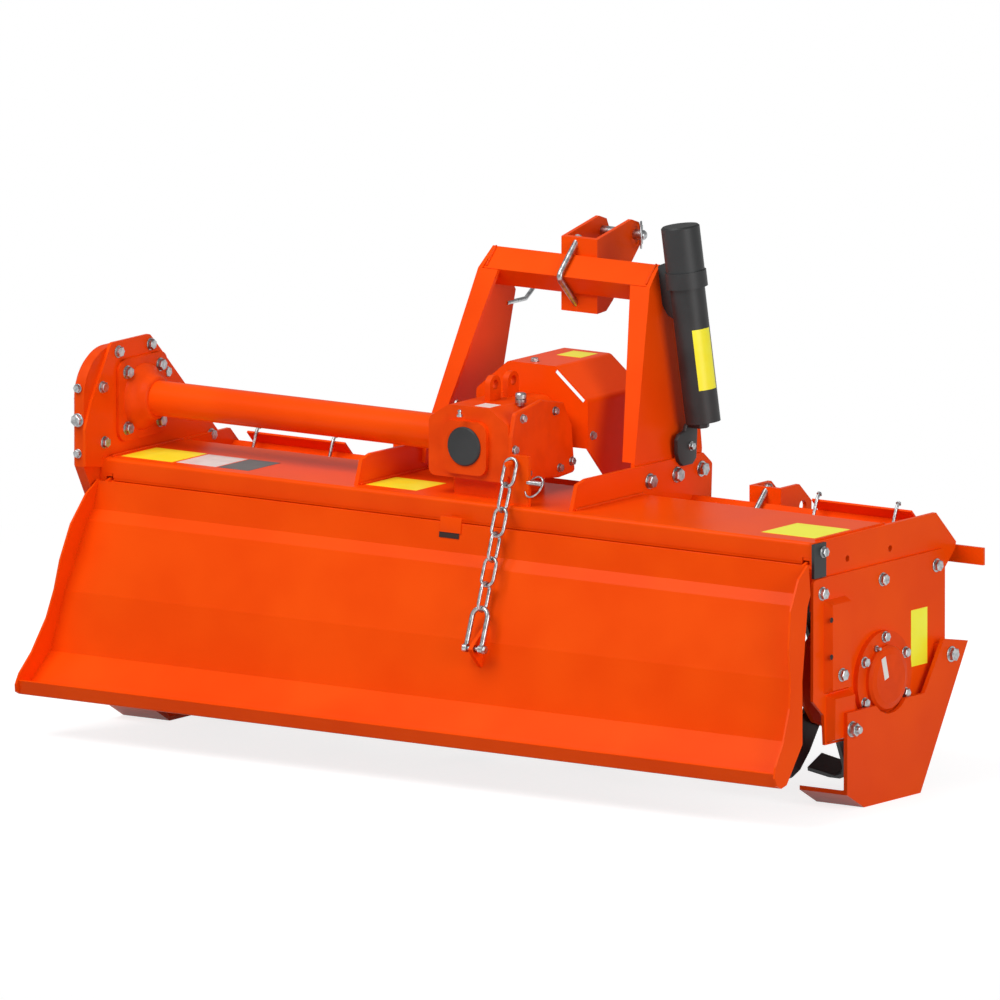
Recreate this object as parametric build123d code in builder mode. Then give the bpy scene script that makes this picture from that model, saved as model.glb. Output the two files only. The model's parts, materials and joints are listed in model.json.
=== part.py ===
from build123d import *
import os
from math import hypot, sqrt

os.makedirs("parts", exist_ok=True)

# Rotary tiller for a three-point hitch. Millimetres. X runs across the machine, +Y points at the
# tractor, +Z is up, and the origin lies on the ground below the middle of the machine.

# Driving sizes of the whole machine
hood_width = 1580  # over the outer faces of the two side plates
wing_spread = 58  # how much further out each tailgate wing stands at the bottom
rotor_drop = 275  # rotor axis below the hood's top
rotor_radius = 221  # tip circle of the blades
tip_clearance = 4  # from the blades' tips down to the ground the skids stand on
rotor_setback = 205  # rotor axis in front of the hood's rear edge
tail_reach = 200  # tailgate's rear edge behind the hood's rear edge
nose_reach = 534  # front of the top link bracket before the hood's rear edge

side_sheet = 8  # side plates
outer_sheet = 6  # bearing plate and carrier plate, on the outside of the side plates
hood_sheet = 5
tail_sheet = 4
bracket_plate = 8
running_gap = 0.05  # radial clearance of a pin or shaft that turns
moving_gap = 5  # least gap from a moving piece to its neighbours

hood_top = rotor_drop + rotor_radius + tip_clearance
hood_rear = (tail_reach - nose_reach) / 2
half_width = hood_width / 2
inner_half = half_width - side_sheet
outer_half = half_width + outer_sheet
full_half = half_width + wing_spread


def side_view(y, z):
    """Place in the side view, measured from the top rear edge of the hood."""
    return (hood_rear + y, hood_top + z)


def front_view(x, z):
    """Place in the front view, measured from the middle of the hood's top."""
    return (x, hood_top + z)


def spot(x, y, z):
    """The same place in space."""
    return (x, hood_rear + y, hood_top + z)


def diamond(centre_y, centre_z, side):
    """Corners of a square tube standing on its edge: rear, top, front and bottom."""
    half = side / sqrt(2)
    return (
        side_view(centre_y - half, centre_z),
        side_view(centre_y, centre_z + half),
        side_view(centre_y + half, centre_z),
        side_view(centre_y, centre_z - half),
    )


# Hood, tube and side plates

hood_flat = 246
hood_lip = 36  # rear lip
slope_end_y = 348
slope_end_z = -62
hinge_y = 6  # tailgate hinge before the hood's rear edge
hinge_z = -48
hinge_radius = 7
ear_plate = 6
ear_radius = 12
ear_places = (-(inner_half - moving_gap - ear_plate / 2), 0, inner_half - moving_gap - ear_plate / 2)
lip_notch = ear_plate + 2 * moving_gap
lip_notch_top = hinge_z + ear_radius + moving_gap + 3

with BuildPart() as hood:
    with BuildSketch(Plane.YZ.offset(-inner_half)):
        with BuildLine():
            FilletPolyline(
                side_view(0, -hood_lip),
                side_view(0, 0),
                side_view(hood_flat, 0),
                side_view(slope_end_y, slope_end_z),
                radius=7,
            )
            offset(amount=hood_sheet, side=Side.RIGHT)
        make_face()
    extrude(amount=2 * inner_half)
    for ear_x in ear_places:
        with Locations(spot(ear_x, hood_sheet / 2, lip_notch_top - hood_lip)):
            Box(lip_notch, 3 * hood_sheet, 2 * hood_lip, mode=Mode.SUBTRACT)
hood.part.label = "hood"
export_step(hood.part, "parts/hood.step")

# Front tube, a square tube standing on its edge, which carries the lower links
tube_y = 405
tube_z = -66
tube_side = 60
tube_wall = 5

with BuildPart() as front_tube:
    with BuildSketch(Plane.YZ.offset(-inner_half)):
        with BuildLine():
            Polyline(*diamond(tube_y, tube_z, tube_side), close=True)
        make_face()
        with BuildLine():
            Polyline(*diamond(tube_y, tube_z, tube_side - 2 * tube_wall), close=True)
        make_face(mode=Mode.SUBTRACT)
    extrude(amount=2 * inner_half)
front_tube.part.label = "front_tube"
export_step(front_tube.part, "parts/front_tube.step")

# Side plates. The nose of each wraps the end of the front tube.
nose_y = 456
plate_front = 412
plate_foot = -375
plate_rear = -8
bearing_top = -67
side_lap = 60  # right side plate down behind the bearing plate
bearing_radius = 46
seat_gap = 0.02  # a turned piece pressed into its plate
pad_holes = ((109, -44), (245, -45))

with BuildPart() as right_side_plate:
    with BuildSketch(Plane.YZ.offset(inner_half)):
        with BuildLine():
            Polyline(
                side_view(0, 0),
                side_view(392, 0),
                side_view(nose_y, -62),
                side_view(nose_y - 3, -74),
                side_view(421, -104),
                side_view(plate_front, bearing_top - side_lap),
                side_view(0, bearing_top - side_lap),
                close=True,
            )
        make_face()
        with Locations(side_view(hinge_y, hinge_z)):
            Circle(hinge_radius + seat_gap, mode=Mode.SUBTRACT)
        for hole_y, hole_z in pad_holes:
            with Locations(side_view(hole_y, hole_z)):
                Circle(6, mode=Mode.SUBTRACT)
    extrude(amount=side_sheet)
right_side_plate.part.label = "right_side_plate"
export_step(right_side_plate.part, "parts/right_side_plate.step")

with BuildPart() as left_side_plate:
    with BuildSketch(Plane.YZ.offset(-half_width)):
        with BuildLine():
            Polyline(
                side_view(0, 0),
                side_view(392, 0),
                side_view(nose_y, -62),
                side_view(nose_y - 3, -74),
                side_view(421, -104),
                side_view(plate_front, -285),
                side_view(330, plate_foot),
                side_view(40, plate_foot),
                side_view(0, -290),
                close=True,
            )
        make_face()
        with Locations(side_view(hinge_y, hinge_z)):
            Circle(hinge_radius + seat_gap, mode=Mode.SUBTRACT)
        with Locations(side_view(rotor_setback, -rotor_drop)):
            Circle(bearing_radius + seat_gap, mode=Mode.SUBTRACT)
    extrude(amount=side_sheet)
left_side_plate.part.label = "left_side_plate"
export_step(left_side_plate.part, "parts/left_side_plate.step")

# Carrier plate on the outside at the left, which holds the drive tube above the hood
with BuildPart() as carrier_plate:
    with BuildSketch(Plane.YZ.offset(-outer_half)):
        with BuildLine():
            Polyline(
                side_view(-53, -10),
                side_view(-53, 58),
                side_view(-34, 107),
                side_view(-3, 156),
                side_view(29, 208),
                side_view(150, 208),
                side_view(187, 173),
                side_view(384, -20),
                side_view(plate_front, -60),
                side_view(plate_front, -285),
                side_view(330, plate_foot),
                side_view(40, plate_foot),
                side_view(plate_rear, -290),
                side_view(plate_rear, -50),
                side_view(0, -42),
                side_view(0, -18),
                close=True,
            )
        make_face()
        with Locations(side_view(rotor_setback, -rotor_drop)):
            Circle(bearing_radius + seat_gap, mode=Mode.SUBTRACT)
    extrude(amount=outer_sheet)
    top_corners = carrier_plate.edges().filter_by(Axis.X).group_by(Axis.Z)[-1]
    fillet(top_corners, 12)
carrier_plate.part.label = "carrier_plate"
export_step(carrier_plate.part, "parts/carrier_plate.step")

# Bearing plate at the right end of the rotor, with pressed pads along its rear edge
pad_height = 16
pressed_pads = (
    # rear, front, bottom, top
    (24, 98, -281, -109),
    (32, 110, -372, -283),
)

with BuildPart() as bearing_plate:
    with BuildSketch(Plane.YZ.offset(half_width)):
        with BuildLine():
            Polyline(
                side_view(plate_rear, -74),
                side_view(plate_rear + 7, bearing_top),
                side_view(plate_front - 8, bearing_top),
                side_view(plate_front, -75),
                side_view(plate_front, -285),
                side_view(330, plate_foot),
                side_view(30, plate_foot),
                side_view(26, -320),
                side_view(plate_rear, -290),
                close=True,
            )
        make_face()
        with Locations(side_view(rotor_setback, -rotor_drop)):
            Circle(bearing_radius + seat_gap, mode=Mode.SUBTRACT)
    extrude(amount=outer_sheet)
    for pad_rear, pad_front, pad_bottom, pad_top in pressed_pads:
        with BuildSketch(Plane.YZ.offset(outer_half)):
            with Locations(side_view((pad_rear + pad_front) / 2, (pad_bottom + pad_top) / 2)):
                RectangleRounded(pad_front - pad_rear, pad_top - pad_bottom, 6)
        extrude(amount=pad_height, taper=25)
bearing_plate.part.label = "bearing_plate"
export_step(bearing_plate.part, "parts/bearing_plate.step")

# Bearing housings that carry the rotor's stub shafts
stub_radius = 20
housing_reach = 22  # inwards from the side plates' inner faces
hub_disc = 86
hub_disc_thick = 10
housing_rows = (
    # name, side, inner end, outer seat, radius of the disc outside
    ("left_bearing", -1, inner_half - housing_reach, outer_half, 0),
    ("right_bearing", 1, inner_half - housing_reach, outer_half, hub_disc),
)

for housing_name, side, inner_end, seat, disc in housing_rows:
    with BuildPart() as bearing:
        with BuildSketch(Plane.YZ.offset(side * inner_end)):
            with Locations(side_view(rotor_setback, -rotor_drop)):
                Circle(bearing_radius)
        extrude(amount=side * (seat - inner_end))
        if disc:
            with BuildSketch(Plane.YZ.offset(side * seat)):
                with Locations(side_view(rotor_setback, -rotor_drop)):
                    Circle(disc)
            extrude(amount=side * hub_disc_thick)
        with BuildSketch(Plane.YZ.offset(side * inner_end)):
            with Locations(side_view(rotor_setback, -rotor_drop)):
                Circle(stub_radius + running_gap)
        extrude(amount=side * (seat - inner_end), mode=Mode.SUBTRACT)
    bearing.part.label = housing_name
    export_step(bearing.part, f"parts/{housing_name}.step")

# Domed cap over the right bearing
cap_radius = 60
cap_rise = 14

cap_seat = outer_half + hub_disc_thick

with BuildPart() as bearing_cap:
    with BuildSketch(Plane(spot(cap_seat, rotor_setback, -rotor_drop), x_dir=(0, 1, 0), z_dir=(0, 0, 1))):
        with BuildLine():
            Polyline(
                (0, 0),
                (cap_radius, 0),
                (cap_radius, -0.45 * cap_rise),
                (0.93 * cap_radius, -0.82 * cap_rise),
                (0.75 * cap_radius, -cap_rise),
                (0, -cap_rise),
                close=True,
            )
        make_face()
    revolve(axis=Axis(spot(cap_seat, rotor_setback, -rotor_drop), (1, 0, 0)))
bearing_cap.part.label = "bearing_cap"
export_step(bearing_cap.part, "parts/bearing_cap.step")

# Side drive case on the left, a cast box from the cross shaft down to the rotor
case_depth = 26
case_foot = 98  # round of the foot about the rotor axis
case_head = 88
head_y = 38
head_z = 113

with BuildPart() as side_case:
    with BuildSketch(Plane.YZ.offset(-outer_half)):
        with Locations(side_view(rotor_setback, -rotor_drop)):
            Circle(case_foot)
        with Locations(side_view(head_y, head_z)):
            Circle(case_head)
        with BuildLine():
            Polyline(
                side_view(head_y - case_head, head_z),
                side_view(head_y - case_head, -12),
                side_view(rotor_setback - case_foot * 0.94, -rotor_drop - case_foot * 0.34),
                side_view(rotor_setback + case_foot * 0.94, -rotor_drop + case_foot * 0.34),
                side_view(262, 78),
                side_view(150, head_z + case_head),
                side_view(head_y, head_z + case_head),
                close=True,
            )
        make_face()
    extrude(amount=-case_depth)
    chamfer(side_case.faces().sort_by(Axis.X)[0].edges(), 6)
side_case.part.label = "side_drive_case"
export_step(side_case.part, "parts/side_drive_case.step")

# Skids

skid_plate = 8
skid_runner = 105
cap_relief = cap_radius + 4
skid_arm_y = 395  # upper bolt of the skid and the spacer behind it
skid_arm_z = -258
skid_spacer = 40
skid_outline = (
    side_view(66, -319),
    side_view(312, -318),
    side_view(375, -227),
    side_view(451, -241),
    side_view(300, -hood_top),
    side_view(120, -hood_top),
    side_view(66, -470),
)

skid_rows = (
    # name, side, how far its plate stands off the outer plate
    ("left_skid", -1, case_depth),
    ("right_skid", 1, pad_height),
)

for skid_name, side, stand_off in skid_rows:
    skid_face = outer_half + stand_off
    with BuildPart() as skid:
        with BuildSketch(Plane.YZ.offset(side * skid_face)):
            with BuildLine():
                Polyline(*skid_outline, close=True)
            make_face()
            with Locations(side_view(rotor_setback, -rotor_drop)):
                Circle(cap_relief, mode=Mode.SUBTRACT)
        extrude(amount=side * skid_plate)
        with BuildSketch(Plane.YZ.offset(side * (skid_face + skid_plate))):
            with BuildLine():
                Polyline(
                    side_view(66, -470),
                    side_view(120, -hood_top),
                    side_view(300, -hood_top),
                    side_view(340, -hood_top + 69),
                    side_view(330, -hood_top + 71),
                    side_view(296, -hood_top + skid_plate),
                    side_view(122, -hood_top + skid_plate),
                    side_view(66, -470 + skid_plate),
                    close=True,
                )
            make_face()
        extrude(amount=-side * skid_runner)
        with BuildSketch(Plane.YZ.offset(side * outer_half)):
            with Locations(side_view(skid_arm_y, skid_arm_z)):
                Rectangle(skid_spacer, skid_spacer)
        extrude(amount=side * stand_off)
        if side < 0:
            with BuildSketch(Plane.YZ.offset(side * outer_half)):
                with Locations(side_view(84, -350)):
                    Rectangle(34, 44)
            extrude(amount=side * stand_off)
    skid.part.label = skid_name
    export_step(skid.part, f"parts/{skid_name}.step")

# Guards and lower link brackets

guard_sheet = 4
guard_over = 20.5  # past the tube's top corner, each way
guard_bar_y = 458
guard_bar = 6
guard_end = half_width - 50  # outer end of each guard plate
guard_length = 220
guard_rows = (
    # name, inner end, outer end of the plate, outer end of the bar
    ("left_guard", -(guard_end - guard_length), -guard_end, -full_half),
    ("right_guard", guard_end - guard_length, guard_end, full_half),
)
tube_top = tube_z + tube_side / sqrt(2)

for guard_name, guard_inner, guard_outer, bar_end in guard_rows:
    with BuildPart() as guard:
        with BuildSketch(Plane.YZ.offset(guard_inner)):
            with BuildLine():
                Polyline(
                    side_view(tube_y - guard_over, tube_top + guard_over),
                    side_view(guard_bar_y + 2, tube_top - (guard_bar_y + 2 - tube_y)),
                )
                offset(amount=guard_sheet, side=Side.LEFT)
            make_face()
        extrude(amount=guard_outer - guard_inner)
        with BuildSketch(Plane.YZ.offset(guard_inner)):
            with Locations(side_view(guard_bar_y + guard_bar / 2, -85)):
                Rectangle(guard_bar, 32)
        extrude(amount=bar_end - guard_inner)
    guard.part.label = guard_name
    export_step(guard.part, f"parts/{guard_name}.step")

# Lower link brackets: a channel whose cheeks sit on the tube's front faces
link_spread = 397
link_width = 70
link_wall_y = 414
link_hole_y = 484
link_hole_z = -37
link_hole = 11.1

for side, link_name in ((-1, "left_lower_link_bracket"), (1, "right_lower_link_bracket")):
    with BuildPart() as link_bracket:
        with BuildSketch(Plane.YZ.offset(side * link_spread - link_width / 2)):
            with BuildLine():
                Polyline(
                    side_view(link_wall_y, 5),
                    side_view(473, 5),
                    side_view(512, -30),
                    side_view(512, -50),
                    side_view(454, -137),
                    side_view(link_wall_y, -137),
                    close=True,
                )
            make_face()
        extrude(amount=link_width)
        with BuildSketch(Plane.YZ.offset(side * link_spread - link_width / 2 + bracket_plate)):
            with Locations(side_view(link_wall_y + bracket_plate + 100, -66)):
                Rectangle(200, 300)
        extrude(amount=link_width - 2 * bracket_plate, mode=Mode.SUBTRACT)
        with BuildSketch(Plane.YZ.offset(side * link_spread - link_width)):
            with BuildLine():
                Polyline(*diamond(tube_y, tube_z, tube_side), close=True)
            make_face()
            with Locations(side_view(link_hole_y, link_hole_z)):
                Circle(link_hole)
        extrude(amount=2 * link_width, mode=Mode.SUBTRACT)
    link_bracket.part.label = link_name
    export_step(link_bracket.part, f"parts/{link_name}.step")

# Mast of the top link

brace_inner = 235
brace_plate = 8
mast_top_x = 185
post_plate = 8
bar_y = 382
bar_z = 363
bar_side = 50

for side, brace_name in ((-1, "left_brace"), (1, "right_brace")):
    with BuildPart() as brace:
        with BuildSketch(Plane.YZ.offset(side * brace_inner)):
            with BuildLine():
                Polyline(
                    side_view(23, 0),
                    side_view(39, 46),
                    side_view(68, 53),
                    side_view(438, 50),
                    side_view(467, 27),
                    side_view(464, -37),
                    side_view(tube_y + tube_side / sqrt(2), tube_z),
                    side_view(tube_y, tube_top),
                    side_view(375, tube_top - (tube_y - 375)),
                    side_view(334, -53.4),
                    side_view(hood_flat, 0),
                    close=True,
                )
            make_face()
        extrude(amount=side * brace_plate)
        fillet(brace.edges().filter_by(Axis.X).sort_by_distance(spot(side * brace_inner, 438, 50))[0:2], 9)
    brace.part.label = brace_name
    export_step(brace.part, f"parts/{brace_name}.step")

post_outline = (
    side_view(225, 14),
    side_view(440, 14),
    side_view(446, 58),
    side_view(462, 306),
    side_view(382, 399),
    side_view(342, 363),
    side_view(231, 58),
)
flange_outline = (
    side_view(231, 58),
    side_view(342, 363),
    side_view(350, 360),
    side_view(239.5, 58),
)

for side, post_name in ((-1, "left_post"), (1, "right_post")):
    with BuildPart() as post_strip:
        with BuildSketch(Plane.XZ.offset(-hood_rear)):
            with BuildLine():
                Polyline(
                    front_view(side * brace_inner, 0),
                    front_view(side * brace_inner, 56),
                    front_view(side * mast_top_x, 405),
                    front_view(side * (mast_top_x - post_plate), 405),
                    front_view(side * (brace_inner - post_plate), 56),
                    front_view(side * (brace_inner - post_plate), 0),
                    close=True,
                )
            make_face()
        extrude(amount=-500)
    with BuildPart() as flange_strip:
        with BuildSketch(Plane.XZ.offset(-hood_rear)):
            with BuildLine():
                Polyline(
                    front_view(side * brace_inner, 56),
                    front_view(side * mast_top_x, 405),
                    front_view(side * 139, 405),
                    front_view(side * 208, 56),
                    close=True,
                )
            make_face()
        extrude(amount=-500)
    with BuildPart() as post_web:
        with BuildSketch(Plane.YZ.offset(side * 100)):
            with BuildLine():
                Polyline(*post_outline, close=True)
            make_face()
        extrude(amount=side * 200)
        add(post_strip.part, mode=Mode.INTERSECT)
    with BuildPart() as post:
        with BuildSketch(Plane.YZ.offset(side * 100)):
            with BuildLine():
                Polyline(*flange_outline, close=True)
            make_face()
        extrude(amount=side * 200)
        add(flange_strip.part, mode=Mode.INTERSECT)
        add(post_web.part)
    post.part.label = post_name
    export_step(post.part, f"parts/{post_name}.step")
    if side < 0:
        left_post_solid = post.part
    else:
        right_post_solid = post.part

with BuildPart() as crossbar:
    with BuildSketch(Plane.YZ.offset(-brace_inner)):
        with BuildLine():
            Polyline(*diamond(bar_y, bar_z, bar_side), close=True)
        make_face()
    extrude(amount=2 * brace_inner)
    with BuildSketch(Plane.XZ.offset(-hood_rear)):
        with BuildLine():
            Polyline(
                front_view(-(mast_top_x - post_plate), 405),
                front_view(mast_top_x - post_plate, 405),
                front_view(brace_inner - post_plate, 56),
                front_view(-(brace_inner - post_plate), 56),
                close=True,
            )
        make_face()
    extrude(amount=-600, mode=Mode.INTERSECT)
    add(left_post_solid, mode=Mode.SUBTRACT)
    add(right_post_solid, mode=Mode.SUBTRACT)
crossbar.part.label = "crossbar"
export_step(crossbar.part, "parts/crossbar.step")

# Top link bracket: a channel whose cheeks sit on the crossbar's front faces
top_half = 40
top_wall_y = bar_y + 9
cheek_end = 22  # from the pin to the front of the cheeks
pin_y = nose_reach - cheek_end
pin_z = 423
pin_radius = 9.5

with BuildPart() as top_bracket:
    with BuildSketch(Plane.YZ.offset(-top_half)):
        with BuildLine():
            Polyline(
                side_view(top_wall_y, 429),
                side_view(pin_y - 11, pin_z + 29),
                side_view(pin_y + 12, pin_z + 21),
                side_view(nose_reach, pin_z),
                side_view(pin_y + 16, pin_z - 21),
                side_view(pin_y - 11, pin_z - 49),
                side_view(top_wall_y + 49, 310),
                side_view(top_wall_y + 29, 294),
                side_view(top_wall_y, 292),
                close=True,
            )
        make_face()
    extrude(amount=2 * top_half)
    with BuildSketch(Plane.YZ.offset(-top_half + bracket_plate)):
        with Locations(side_view(top_wall_y + bracket_plate + 100, 360)):
            Rectangle(200, 300)
    extrude(amount=2 * (top_half - bracket_plate), mode=Mode.SUBTRACT)
    with BuildSketch(Plane.YZ.offset(-2 * top_half)):
        with BuildLine():
            Polyline(*diamond(bar_y, bar_z, bar_side), close=True)
        make_face()
        with Locations(side_view(pin_y, pin_z)):
            Circle(pin_radius + 0.2)
    extrude(amount=4 * top_half, mode=Mode.SUBTRACT)
top_bracket.part.label = "top_link_bracket"
export_step(top_bracket.part, "parts/top_link_bracket.step")

with BuildPart() as top_pin:
    with BuildSketch(Plane.YZ.offset(-46)):
        with Locations(side_view(pin_y, pin_z)):
            Circle(pin_radius)
    extrude(amount=104)
    with BuildSketch(Plane.YZ.offset(-top_half)):
        with Locations(side_view(pin_y, pin_z)):
            Circle(14)
    extrude(amount=-6)
top_pin.part.label = "top_link_pin"
export_step(top_pin.part, "parts/top_link_pin.step")

# Hook that holds the drive shaft up when the machine is unhitched
with BuildPart() as rest_hook:
    with BuildLine() as hook_path:
        Polyline(spot(-196, 440, 283), spot(-196, 500, 283), spot(-196, 526, 300))
    with BuildSketch(Plane(origin=hook_path.line @ 0, z_dir=hook_path.line % 0)):
        Circle(4)
    sweep(transition=Transition.ROUND)
    add(left_post_solid, mode=Mode.SUBTRACT)
rest_hook.part.label = "shaft_rest_hook"
export_step(rest_hook.part, "parts/shaft_rest_hook.step")

# Gearbox, drive tube and PTO hood

box_left = -85
box_right = 92
box_rear = 35
box_front = 225
input_z = 95
cross_y = 120
cross_z = 97
shaft_radius = 17.5
shaft_seat = 40  # how deep the input shaft sits in the gearbox
shaft_reach = 330
hood_back = 241

with BuildPart() as gearbox:
    with BuildSketch(Plane.XY.offset(hood_top)):
        with Locations((5, hood_rear + 130)):
            RectangleRounded(110, 150, 14)
    extrude(amount=40)
    with BuildSketch(Plane.XZ.offset(-hood_rear - box_rear)):
        with BuildLine():
            FilletPolyline(
                front_view(box_left, 34),
                front_view(box_left, 140),
                front_view(-40, 168),
                front_view(48, 168),
                front_view(box_right, 140),
                front_view(box_right, 34),
                close=True,
                radius=14,
            )
        make_face()
    extrude(amount=-(box_front - box_rear))
    fillet(gearbox.faces().sort_by(Axis.Y)[-1].edges(), 10)
    with BuildSketch(Plane.XZ.offset(-hood_rear - 27)):
        with Locations(front_view(0, 92)):
            RectangleRounded(96, 98, 20)
    extrude(amount=-30)
    with BuildSketch(Plane.XZ.offset(-hood_rear - hood_back)):
        with Locations(front_view(0, input_z)):
            Circle(52)
    extrude(amount=40)
    with BuildSketch(Plane.XZ.offset(-hood_rear - hood_back)):
        with Locations(front_view(0, input_z)):
            Circle(shaft_radius + running_gap)
    extrude(amount=shaft_seat, mode=Mode.SUBTRACT)
    for lug_y in (117, 174):
        with BuildSketch(Plane.YZ.offset(-6)):
            with Locations(side_view(lug_y, 197)):
                Circle(17)
            with Locations(side_view(lug_y, 178)):
                Rectangle(34, 38)
            with Locations(side_view(lug_y, 197)):
                Circle(9, mode=Mode.SUBTRACT)
        extrude(amount=12)
gearbox.part.label = "gearbox_housing"
export_step(gearbox.part, "parts/gearbox_housing.step")

with BuildPart() as rear_cap:
    with BuildSketch(Plane.XZ.offset(-hood_rear - 27)):
        with Locations(front_view(0, input_z)):
            Circle(36)
    extrude(amount=4)
    chamfer(rear_cap.faces().sort_by(Axis.Y)[0].edges(), 2)
rear_cap.part.label = "gearbox_rear_cap"
export_step(rear_cap.part, "parts/gearbox_rear_cap.step")

with BuildPart() as gear_cover:
    with BuildSketch(Plane.YZ.offset(box_right)):
        with BuildLine():
            FilletPolyline(
                side_view(92, 34),
                side_view(30, 45),
                side_view(35, 120),
                side_view(47, 162),
                side_view(131, 176),
                side_view(200, 162),
                side_view(225, 118),
                side_view(236, 29),
                side_view(186, 25),
                close=True,
                radius=7,
            )
        make_face()
    extrude(amount=8)
    chamfer(gear_cover.faces().sort_by(Axis.X)[-1].edges(), 2)
gear_cover.part.label = "gearbox_cover"
export_step(gear_cover.part, "parts/gearbox_cover.step")

with BuildPart() as input_shaft:
    with BuildSketch(Plane.XZ.offset(-hood_rear - shaft_reach)):
        with Locations(front_view(0, input_z)):
            Circle(shaft_radius)
    extrude(amount=shaft_reach - hood_back + shaft_seat)
    chamfer(input_shaft.faces().sort_by(Axis.Y)[-1].edges(), 3)
    with Locations(Plane(spot(0, shaft_reach, input_z), x_dir=(1, 0, 0), z_dir=(0, 1, 0))):
        with PolarLocations(shaft_radius, 6):
            with Locations((0, 0, -35)):
                Box(5, 8, 70, mode=Mode.SUBTRACT)
input_shaft.part.label = "input_shaft"
export_step(input_shaft.part, "parts/input_shaft.step")

guard_skin = 3
guard_front = 415

with BuildPart() as pto_hood:
    with BuildSketch(Plane.XZ.offset(-hood_rear - hood_back)):
        with BuildLine():
            FilletPolyline(
                front_view(-124, 15),
                front_view(-124, 161),
                front_view(-53, 218),
                front_view(53, 218),
                front_view(124, 161),
                front_view(124, 15),
                radius=14,
            )
            offset(amount=guard_skin, side=Side.RIGHT)
        make_face()
    extrude(amount=-(guard_front - hood_back))
    with BuildSketch(Plane.YZ.offset(-200)):
        with BuildLine():
            Polyline(
                side_view(hood_back - 1, 72),
                side_view(295, 14),
                side_view(hood_back - 1, 14),
                close=True,
            )
        make_face()
    extrude(amount=400, mode=Mode.SUBTRACT)
    with BuildSketch(Plane.XZ.offset(-hood_rear - hood_back)):
        with BuildLine():
            Polyline(
                front_view(-123, 72),
                front_view(-123, 160),
                front_view(-53, 217),
                front_view(53, 217),
                front_view(123, 160),
                front_view(123, 72),
                close=True,
            )
        make_face()
        with Locations(front_view(0, input_z)):
            Circle(45, mode=Mode.SUBTRACT)
    extrude(amount=-guard_skin)
pto_hood.part.label = "pto_hood"
export_step(pto_hood.part, "parts/pto_hood.step")

drive_radius = 32.5
drive_flange_plate = 15
drive_flange_face = half_width - drive_flange_plate
with BuildPart() as drive_tube:
    with BuildSketch(Plane.YZ.offset(-drive_flange_face)):
        with Locations(side_view(cross_y, cross_z)):
            Circle(drive_radius)
    extrude(amount=drive_flange_face + box_left)
    with BuildSketch(Plane.YZ.offset(box_left)):
        with Locations(side_view(cross_y, cross_z)):
            Circle(46)
    extrude(amount=-12)
drive_tube.part.label = "drive_tube"
export_step(drive_tube.part, "parts/drive_tube.step")

with BuildPart() as drive_flange:
    with BuildSketch(Plane.YZ.offset(-half_width)):
        with Locations(side_view(cross_y, cross_z)):
            RectangleRounded(152, 152, 30)
    extrude(amount=half_width - drive_flange_face)
    with BuildSketch(Plane.YZ.offset(-drive_flange_face)):
        with Locations(side_view(cross_y, cross_z)):
            Circle(50)
    extrude(amount=30, taper=16)
    with BuildSketch(Plane.YZ.offset(-half_width)):
        with Locations(side_view(cross_y, cross_z)):
            Circle(drive_radius)
    extrude(amount=80, mode=Mode.SUBTRACT)
    with BuildSketch(Plane.YZ.offset(-half_width)):
        with Locations(side_view(cross_y, cross_z)):
            Circle(drive_radius)
    extrude(amount=half_width - drive_flange_face)
drive_flange.part.label = "drive_tube_flange"
export_step(drive_flange.part, "parts/drive_tube_flange.step")

# Document tube

tube_head = Vector(*spot(235, 375, 477))
tube_foot = Vector(*spot(275, 392, 116))
tube_axis = (tube_foot - tube_head).normalized()
tube_length = (tube_foot - tube_head).length
can_radius = 32

with BuildPart() as document_tube:
    with BuildSketch(Plane(origin=tube_head + tube_axis * 60, z_dir=tube_axis)):
        Circle(can_radius)
    extrude(amount=tube_length - 60)
    with BuildSketch(Plane(origin=tube_head + tube_axis * 84, z_dir=tube_axis)):
        Circle(38)
    extrude(amount=30)
document_tube.part.label = "document_tube"
export_step(document_tube.part, "parts/document_tube.step")

with BuildPart() as tube_cap:
    with BuildSketch(Plane(origin=tube_head, z_dir=tube_axis)):
        Circle(35.5)
    extrude(amount=84)
    chamfer(tube_cap.faces().sort_by(Axis.Z)[-1].edges(), 3)
    with BuildSketch(Plane(origin=tube_head + tube_axis * 60, z_dir=tube_axis)):
        Circle(can_radius)
    extrude(amount=30, mode=Mode.SUBTRACT)
tube_cap.part.label = "document_tube_cap"
export_step(tube_cap.part, "parts/document_tube_cap.step")

with BuildPart() as tube_strap:
    with Locations(spot(205, 378, 364)):
        Box(60, 30, 16)
    add(right_post_solid, mode=Mode.SUBTRACT)
    add(document_tube.part, mode=Mode.SUBTRACT)
    with BuildSketch(Plane.YZ.offset(150)):
        with Locations(side_view(378, 364)):
            Rectangle(60, 60)
    extrude(amount=40, mode=Mode.SUBTRACT)
tube_strap.part.label = "document_tube_strap"
export_step(tube_strap.part, "parts/document_tube_strap.step")

with BuildPart() as tube_foot_bracket:
    with Locations(spot(272, 392, 106)):
        Box(58, 44, 40)
    with Locations(spot(brace_inner + brace_plate + 3, 400, 66)):
        Box(6, 50, 84)
    add(document_tube.part, mode=Mode.SUBTRACT)
tube_foot_bracket.part.label = "document_tube_foot"
export_step(tube_foot_bracket.part, "parts/document_tube_foot.step")

# Tailgate

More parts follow.
